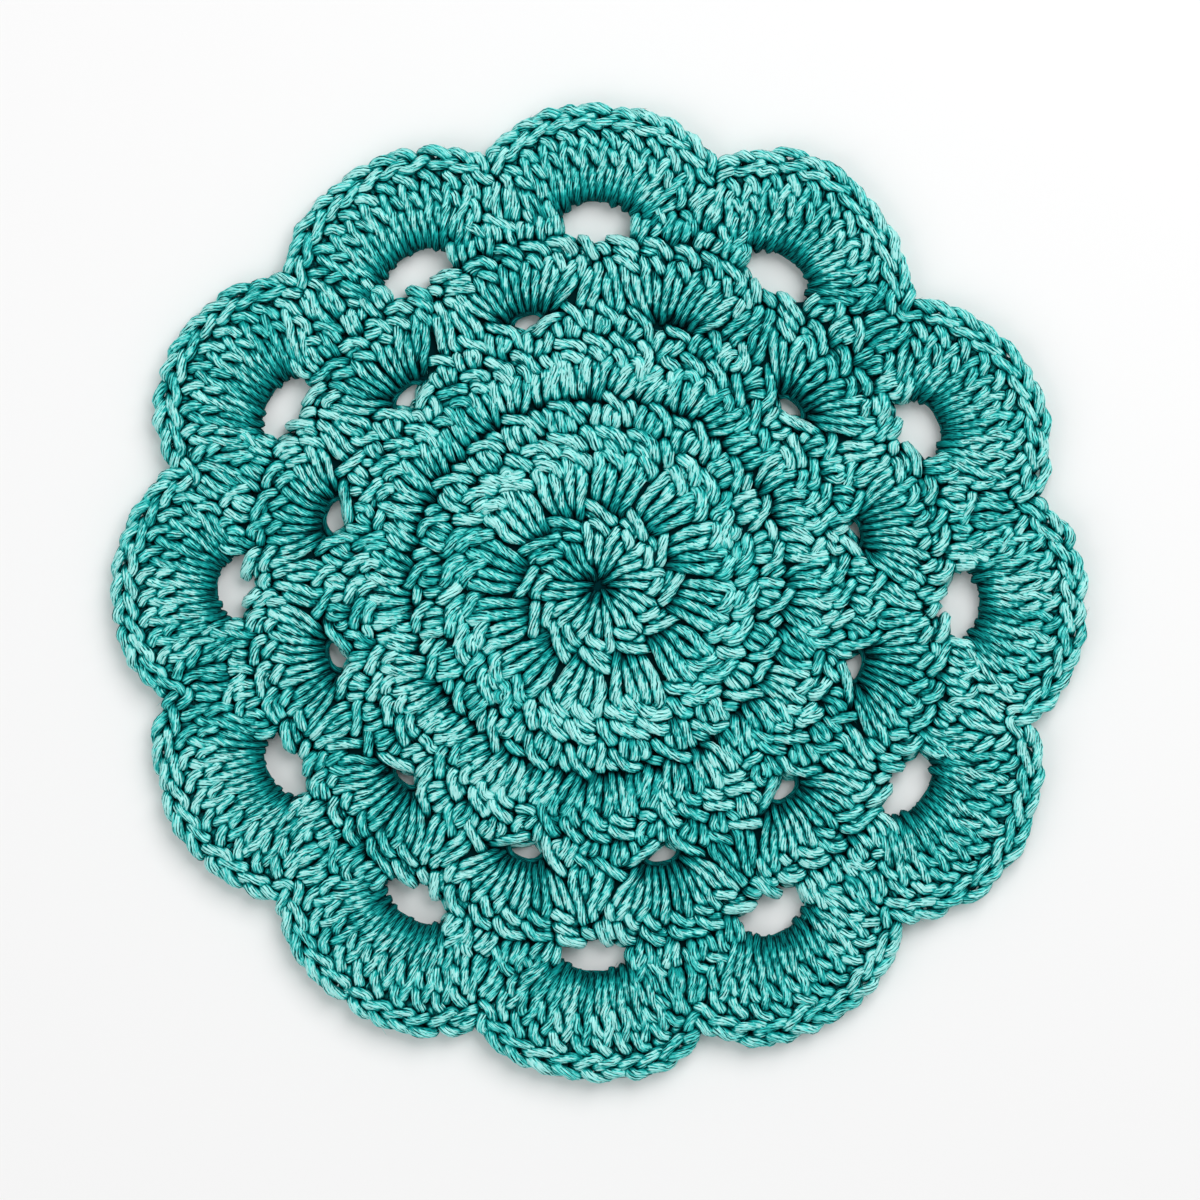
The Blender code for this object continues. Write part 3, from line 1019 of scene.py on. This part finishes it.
@dataclass
class LoopRound(CrochetRound):
    """Short stitches on top of each fan, with a loop of chain that spans the dip between fans."""

    shift: float = 0.0
    short_degs: tuple[float, ...] = (-6.3, 0.0, 6.3)
    foot_radius: float = 49.4
    head_radius: float = 57.2
    foot_drop: float = 0.5
    loop_openings: list[Opening] = field(default_factory=list)
    loop_turns: tuple[float, ...] = ()
    dip_foot_radius: float = 0.0
    dip_clear: float = 1.4
    dip_tilt: float = 0.3
    bar_lift: float = 2.7
    pitch: float = 2.9

    def spots(self) -> list[Spot]:
        """Short stitches and chain loops by turns."""
        found = []
        for repeat in range(REPEATS):
            at = repeat + self.shift
            for degrees in self.short_degs:
                phase = at + degrees / REPEAT_DEG
                drop = self.foot_drop * abs(degrees) / max(self.short_degs)
                foot = self.pattern.place(phase, self.foot_radius - drop)
                head = self.pattern.place(phase, self.head_radius)
                found.append(Spot(Stitch.SHORT, foot, head, self.pitch))
            opening = self.loop_openings[int(math.floor(at + 0.5)) % REPEATS]
            if self.dip_foot_radius:
                dip = at + 0.5
                reach = opening.reach - opening.height / 2 - self.dip_clear - opening.spare
                foot = self.pattern.place(dip, self.dip_foot_radius)
                head = self.pattern.local(dip, reach, np.float64(0), np.float64(0))
                tilt = self.dip_tilt if opening.spare else 1.0
                found.append(Spot(Stitch.SHORT, foot, head, self.pitch, tilt=tilt))
            for share in self.loop_turns:
                head = opening.arch(self.pattern, np.float64(share * math.pi), self.bar_lift)
                found.append(Spot(Stitch.BAR, head, head, self.pitch))
        return found


# The cotton's colour with painted light and shade: from painted deep shade between the strands up to
# painted highlights on the crests of its plies
COTTON_SHADE_TO_HIGHLIGHT = (
    (0.0, (0.0001, 0.010, 0.014)),
    (0.22, (0.0003, 0.045, 0.050)),
    (0.42, (0.0007, 0.108, 0.108)),
    (0.62, (0.003, 0.255, 0.248)),
    (0.78, (0.010, 0.48, 0.456)),
    (0.88, (0.12, 0.84, 0.79)),
    (0.97, (0.48, 1.0, 0.96)),
)


@dataclass(frozen=True)
class PlainFinish:
    """One even, dull colour."""

    name: str
    colour: tuple[float, float, float]
    roughness: float = 0.9
    specular: float = 0.0

    def material(self) -> bpy.types.Material:
        """The material."""
        material = bpy.data.materials.new(self.name)
        material.use_nodes = True
        shader = material.node_tree.nodes["Principled BSDF"]
        shader.inputs["Base Color"].default_value = (*self.colour, 1)
        shader.inputs["Roughness"].default_value = self.roughness
        shader.inputs["Specular IOR Level"].default_value = self.specular
        return material


@dataclass(frozen=True)
class CottonFinish:
    """Soft twisted cotton: strands with painted highlights and shade, and fine dark lines of painted shade
    between their fibres.
    """

    name: str
    tones: tuple[tuple[float, tuple[float, float, float]], ...]
    roughness: float = 0.6
    specular: float = 0.04
    ply_lines: float = 10.0
    line_depth_mm: float = 0.2
    bump_strength: float = 0.9

    def material(self, group: bpy.types.NodeTree) -> bpy.types.Material:
        """The node material."""
        material = bpy.data.materials.new(self.name)
        material.use_nodes = True
        tree = material.node_tree
        shader = tree.nodes["Principled BSDF"]
        shader.inputs["Roughness"].default_value = self.roughness
        shader.inputs["Specular IOR Level"].default_value = self.specular
        lines = tree.nodes.new("ShaderNodeGroup")
        lines.node_tree = group
        lines.inputs["Lines"].default_value = self.ply_lines
        # The ramp turns painted shade and light into colour, from near black to a pale highlight
        ramp = tree.nodes.new("ShaderNodeValToRGB")
        stops = ramp.color_ramp.elements
        while len(stops) < len(self.tones):
            stops.new(0.5)
        for stop, (position, colour) in zip(stops, self.tones):
            stop.position = position
            stop.color = (*colour, 1)
        tree.links.new(lines.outputs["Crest"], ramp.inputs["Fac"])
        tree.links.new(ramp.outputs["Color"], shader.inputs["Base Color"])
        bump = tree.nodes.new("ShaderNodeBump")
        bump.inputs["Strength"].default_value = self.bump_strength
        bump.inputs["Distance"].default_value = self.line_depth_mm * MM
        tree.links.new(lines.outputs["Height"], bump.inputs["Height"])
        tree.links.new(bump.outputs["Normal"], shader.inputs["Normal"])
        return material


def ply_line_group() -> bpy.types.NodeTree:
    """The shader group that draws fine fibre lines along the yarn as painted shade in the grooves between
    plies, and mixes in each point's painted shade.

    Returns:
        A group with the input Lines and the outputs Crest and Height, both from 0 to 1. Crest is the
        painted light and shade; Height drives the bump.
    """
    group = bpy.data.node_groups.new("ply_lines", "ShaderNodeTree")
    face = group.interface
    face.new_socket("Lines", in_out="INPUT", socket_type="NodeSocketFloat")
    for name in ("Crest", "Height"):
        face.new_socket(name, in_out="OUTPUT", socket_type="NodeSocketFloat")
    new = group.nodes.new
    link = group.links.new
    given = new("NodeGroupInput")
    result = new("NodeGroupOutput")

    calc = partial(add_math, group)
    uv = new("ShaderNodeUVMap")
    uv.uv_map = PLIES_UV
    parts = new("ShaderNodeSeparateXYZ")
    link(uv.outputs["UV"], parts.inputs["Vector"])
    along = calc("MULTIPLY", parts.outputs["X"], 1000.0)
    around = parts.outputs["Y"]
    turn = calc("MULTIPLY", around, math.tau)
    ring_x = calc("COSINE", turn)
    ring_y = calc("SINE", turn)

    def noise(across: float, lengthwise: float, detail: float) -> bpy.types.NodeSocket:
        """Noise that closes on itself round the yarn, at its own scale along it."""
        spot = new("ShaderNodeCombineXYZ")
        for axis, value, scale in (("X", ring_x, across), ("Y", ring_y, across), ("Z", along, lengthwise)):
            link(calc("MULTIPLY", value, scale), spot.inputs[axis])
        made = new("ShaderNodeTexNoise")
        made.inputs["Scale"].default_value = 1.0
        made.inputs["Detail"].default_value = detail
        link(spot.outputs["Vector"], made.inputs["Vector"])
        return made.outputs["Fac"]

    fibres = noise(5.0, 0.6, 3.0)
    blotch = noise(1.6, 0.7, 1.0)
    dashes = noise(3.4, 0.7, 1.0)
    gate = calc("MULTIPLY", calc("SUBTRACT", dashes, 0.44), 8.0)
    gate.node.use_clamp = True

    wobble = calc("MULTIPLY", calc("SUBTRACT", fibres, 0.5), 9.0)
    wave = calc("COSINE", calc("ADD", calc("MULTIPLY", turn, given.outputs["Lines"]), wobble))
    ridge = calc("ADD", calc("MULTIPLY", wave, 0.5), 0.5)
    # Painted shade in dark dashes along the grooves between plies
    line = calc("MULTIPLY", calc("POWER", ridge, 3.5), gate)

    # The painted shade that each point carries
    air = new("ShaderNodeAttribute")
    air.attribute_name = SHADE_ATTRIBUTE
    painted_shade = calc("SUBTRACT", calc("MULTIPLY", air.outputs["Fac"], 1.075), 0.045)
    streaks = calc("MULTIPLY", calc("SUBTRACT", fibres, 0.5), 0.62)
    patches = calc("MULTIPLY", calc("SUBTRACT", blotch, 0.5), 0.3)
    # The tone: painted shade and light, with random fibre streaks and patches
    bright = calc("SUBTRACT", calc("ADD", painted_shade, streaks), calc("MULTIPLY", line, 0.75))
    crest = calc("ADD", bright, patches)
    crest.node.use_clamp = True
    link(crest, result.inputs["Crest"])
    link(calc("SUBTRACT", 1.0, ridge), result.inputs["Height"])
    return group


@dataclass
class GapEdges:
    """The chain that the stitches round each opening are worked over, seen between their feet."""

    pattern: Pattern
    openings: list[Opening]
    name: str = "gap_edges"
    lift: float = 1.3
    width: float = 0.62
    height: float = 2.6
    # Painted shade: as dark as the stitch feet it lies between
    tone: float = 0.55
    span: tuple[float, float] = (0.03, 0.97)
    sides: int = 24

    def paths(self) -> list[Path]:
        """One strand along the arch of each opening."""
        found = []
        turns = np.linspace(*self.span, self.sides) * math.pi
        for hole in self.openings:
            ring = hole.arch(self.pattern, turns, self.lift)
            level = np.full((len(ring), 1), self.height)
            ones = np.ones(len(ring))
            found.append(Path(np.hstack([ring, level]), ones * self.width, ones * self.tone))
        return found


# A loose fibre, as a very thin yarn
FIBRE = Yarn(radius=0.04, plies=1, ply_depth=0.0, sides=3, twist_per_mm=0.0)


@dataclass
class Fuzz:
    """Loose fibres that stand off the yarn, most of them along the scalloped rim."""

    pattern: Pattern
    name: str = "loose_fibres"
    count: int = 2400
    rim_share: float = 6.0
    rim_radius: float = 84.0
    length: float = 1.5
    drift: float = 0.35
    curl: float = 0.3
    root: float = 0.75
    lengths: tuple[float, float] = (0.5, 1.2)
    lowest: float = 0.2

    def paths(self, strands: list[Path], yarn: Yarn) -> list[Path]:
        """One short path for each fibre.

        Args:
            strands: the yarn's paths.
            yarn: the yarn, for its radius.

        Returns:
            The fibres' paths, each from just under the yarn's surface outwards.
        """
        random = np.random.default_rng(SEED + 50)
        points = np.concatenate([path.points for path in strands])
        ways = np.concatenate([np.gradient(path.points, axis=0) for path in strands])
        ways /= np.maximum(np.linalg.norm(ways, axis=1), 1e-6)[:, None]
        centre = np.array([self.pattern.centre_x, self.pattern.centre_y])
        outside = np.linalg.norm(points[:, :2] - centre, axis=1) > self.rim_radius
        weights = 1 + (self.rim_share - 1) * outside
        chosen = random.choice(len(points), self.count, replace=False, p=weights / weights.sum())
        along = np.array([0.0, 0.35, 0.7, 1.0])[:, None]
        found = []
        for index in chosen:
            way = ways[index] * random.choice((-1.0, 1.0))
            side = random.normal(0, 1, 3)
            side -= way * side.dot(way)
            side /= np.linalg.norm(side)
            side[2] = abs(side[2])
            base = points[index] + side * yarn.radius * self.root
            reach = self.length * random.uniform(*self.lengths)
            curl = random.normal(0, self.curl, 3)
            hair = base + reach * (along * (way * 0.8 + side * self.drift) + along**2 * curl)
            hair[:, 2] = np.maximum(hair[:, 2], self.lowest)
            found.append(Path(hair, np.ones(len(hair)), np.ones(len(hair))))
        return found


@dataclass
class GroundCloth:
    """The inner layer of the cloth, a thin sheet between the front and back strands, coloured near black as
    painted shade where it shows between them.
    """

    pattern: Pattern
    openings: list[Opening]
    name: str = "inner_cloth_shade"
    inset: float = 2.6
    margin: float = 3.4
    eye_margin: float = 2.0
    low: float = 1.9
    thickness: float = 1.0
    edge_points: int = 360
    gap_sides: int = 14

    def build(self, finish: bpy.types.Material) -> bpy.types.Object:
        """The sheet, with its gaps."""
        data = bpy.data.curves.new(self.name + "_outline", "CURVE")
        data.dimensions = "2D"
        data.fill_mode = "BOTH"
        data.extrude = self.thickness / 2 * MM
        phases = np.arange(self.edge_points) / self.edge_points * REPEATS
        outlines = [self.pattern.edge(phases, self.inset)]
        for hole in self.openings:
            margin = self.eye_margin if hole.spare else self.margin
            outlines.append(hole.outline(self.pattern, margin, self.gap_sides))
        for outline in outlines:
            level = np.zeros((len(outline), 1))
            add_spline(data, np.hstack([outline, level])).use_cyclic_u = True
        piece = made_plain(add_object(self.name + "_outline", data), self.name)
        piece.data.transform(Matrix.Translation((0, 0, (self.low + self.thickness / 2) * MM)))
        piece.data.materials.clear()
        piece.data.materials.append(finish)
        return piece


@dataclass
class Studio:
    """The floor, the lights and the camera. Lengths are in metres."""

    camera_height: float = 1.0
    lens_mm: float = 146.3
    sensor_mm: float = 36.0
    aim: tuple[float, float] = (0.0003, -0.00154)
    floor_side: float = 6.0
    key_power: float = 12.5
    fill_power: float = 4.0
    world_strength: float = 0.455

    def floor(self) -> None:
        """A plain white ground, which isn't part of the object."""
        half = self.floor_side / 2
        mesh = bpy.data.meshes.new("ground")
        corners = [(-half, -half, 0), (half, -half, 0), (half, half, 0), (-half, half, 0)]
        mesh.from_pydata(corners, [], [(0, 1, 2, 3)])
        finish = PlainFinish("ground_white", (0.90, 0.90, 0.90), specular=0.2)
        mesh.materials.append(finish.material())
        add_object("ground", mesh)

    def lamp(self, name: str, place: tuple[float, float, float], side: float, power: float) -> None:
        """A square lamp that looks at the middle of the cloth."""
        data = bpy.data.lights.new(name, "AREA")
        data.size = side
        data.energy = power
        lamp = add_object(name, data)
        lamp.location = place
        lamp.rotation_euler = Vector(place).to_track_quat("Z", "Y").to_euler()

    def light(self) -> None:
        """A soft key from the upper right, a weak fill, and a pale sky."""
        self.lamp("key", (0.45, 0.65, 1.1), 1.0, self.key_power)
        self.lamp("fill", (-0.8, -0.5, 0.9), 1.0, self.fill_power)
        world = bpy.context.scene.world or bpy.data.worlds.new("studio")
        bpy.context.scene.world = world
        world.use_nodes = True
        sky = world.node_tree.nodes["Background"]
        sky.inputs["Color"].default_value = (1, 1, 1, 1)
        sky.inputs["Strength"].default_value = self.world_strength

    def camera(self) -> None:
        """A long lens straight above the cloth."""
        data = bpy.data.cameras.new("camera")
        data.lens = self.lens_mm
        data.sensor_width = self.sensor_mm
        data.clip_start = 0.05
        camera = add_object("camera", data)
        camera.location = (*self.aim, self.camera_height)
        bpy.context.scene.camera = camera

    def build(self) -> None:
        """Sets up the whole studio."""
        bpy.context.scene.view_settings.view_transform = "Standard"
        self.floor()
        self.light()
        self.camera()


def gaps() -> list[Opening]:
    """The large gaps, one in each repeat."""
    return [
        Opening(float(k), row.gap_reach, row.gap_width, row.gap_height, 0.5)
        for k, row in enumerate(SCALLOPS)
    ]


def eyes(pattern: Pattern) -> list[Opening]:
    """The small eyes between the repeats. A closed one only guides the stitches."""
    found = []
    for k, row in enumerate(SCALLOPS):
        width = row.eye_width or pattern.closed_eye
        height = row.eye_height or pattern.closed_eye_height
        spare = 1.4 if row.eye_width else 0.0
        found.append(Opening(k + 0.5, row.eye_reach, width, height, 0.6, spare))
    return found


def rounds(pattern: Pattern, yarn: Yarn) -> list[CrochetRound]:
    """The eight rounds from the middle outwards."""
    layers = [YarnLayer(yarn, SEED + number) for number in range(8)]
    small = eyes(pattern)
    large = gaps()
    return [
        PostRing("round_1_ring", pattern, layers[0], foot_radius=3.2, pitch=1.7, head_radius=15.2),
        PostRing(
            "round_2_pairs", pattern, layers[1], per_foot=2, foot_deg=21.5, foot_radius=15.4,
            head_gap_deg=12.5, head_radius=30.4, pitch=2.5, flare=0.35, bow=0.4, fullness=1.22,
        ),
        ClusterRing("round_3_clusters", pattern, layers[2], foot_radius=31.6, head_radius=38.6),
        FanRound(
            "round_4_small_fans", pattern, layers[3], posts=4, spread_deg=18.5, fullness=1.08,
            space_width=6.5, space_radius=38.6, space_height=1.0, head_radius=50.2, head_drop=1.2,
            dip_foot_radius=39.0, dip_head_radius=46.8, dip_pitch=3.2,
        ),
        LoopRound(
            "round_5_loops", pattern, layers[4], loop_openings=small, foot_radius=51.8,
            head_radius=56.6, dip_foot_radius=48.2,
        ),
        FanRound(
            "round_6_fans", pattern, layers[5], shift=0.5, posts=6, spread_deg=25.0,
            head_radius=71.4, head_drop=1.0, openings=small, space_width=11.0, space_height=1.2,
            dip_foot_radius=55.8, dip_pitch=6.0, dip_openings=large, foot_span=1.0,
        ),
        LoopRound(
            "round_7_loops", pattern, layers[6], shift=0.5, short_degs=(-7.5, -2.5, 2.5, 7.5),
            foot_radius=73.0, head_radius=78.4, foot_drop=1.2, loop_openings=large,
            loop_turns=(0.13, 0.3, 0.5, 0.7, 0.87), pitch=2.9,
        ),
        FanRound(
            "round_8_large_fans", pattern, layers[7], edge=True, lengths=2, post=Stitch.TALL,
            posts=10, spread_deg=25.8, openings=large, space_width=0.0, dip_foot_radius=77.0,
            dip_head_radius=87.4, dip_pitch=4.2, foot_span=0.94, arch_lift=3.1,
        ),
    ]


def main() -> None:
    logging.basicConfig(level=logging.INFO, format="%(name)s %(message)s")
    pattern = Pattern()
    yarn = Yarn()
    group = ply_line_group()
    cotton = CottonFinish("cotton_teal", COTTON_SHADE_TO_HIGHLIGHT).material(group)
    # A near-black colour: painted shade for the inner sheet where it shows between strands
    shade = PlainFinish("cotton_shade", (0.0003, 0.028, 0.032)).material()

    sweep = Sweep()
    rows = rounds(pattern, yarn)
    paths = [row.path() for row in rows]
    Settler(yarn).settle(paths)
    pieces = [piece for row, path in zip(rows, paths) for piece in row.build(path, sweep, cotton)]
    holes = gaps() + [eye for eye in eyes(pattern) if eye.spare]
    edges = GapEdges(pattern, holes)
    pieces.append(sweep.piece(edges.name, edges.paths(), yarn, cotton))
    fuzz = Fuzz(pattern)
    pieces.append(sweep.piece(fuzz.name, fuzz.paths(paths, yarn), FIBRE, cotton))
    # Paints shade onto every piece from the strands around it
    shade_map = Shade(np.concatenate([path.points for path in paths]))
    for piece in pieces:
        shade_map.store(piece)
    ground = GroundCloth(pattern, holes)
    inner = ground.build(shade)
    for piece in [*pieces, inner]:
        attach(piece, BODY)
    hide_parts(CLOTH_NODE)
    Studio().build()


if __name__ == "__main__":
    main()
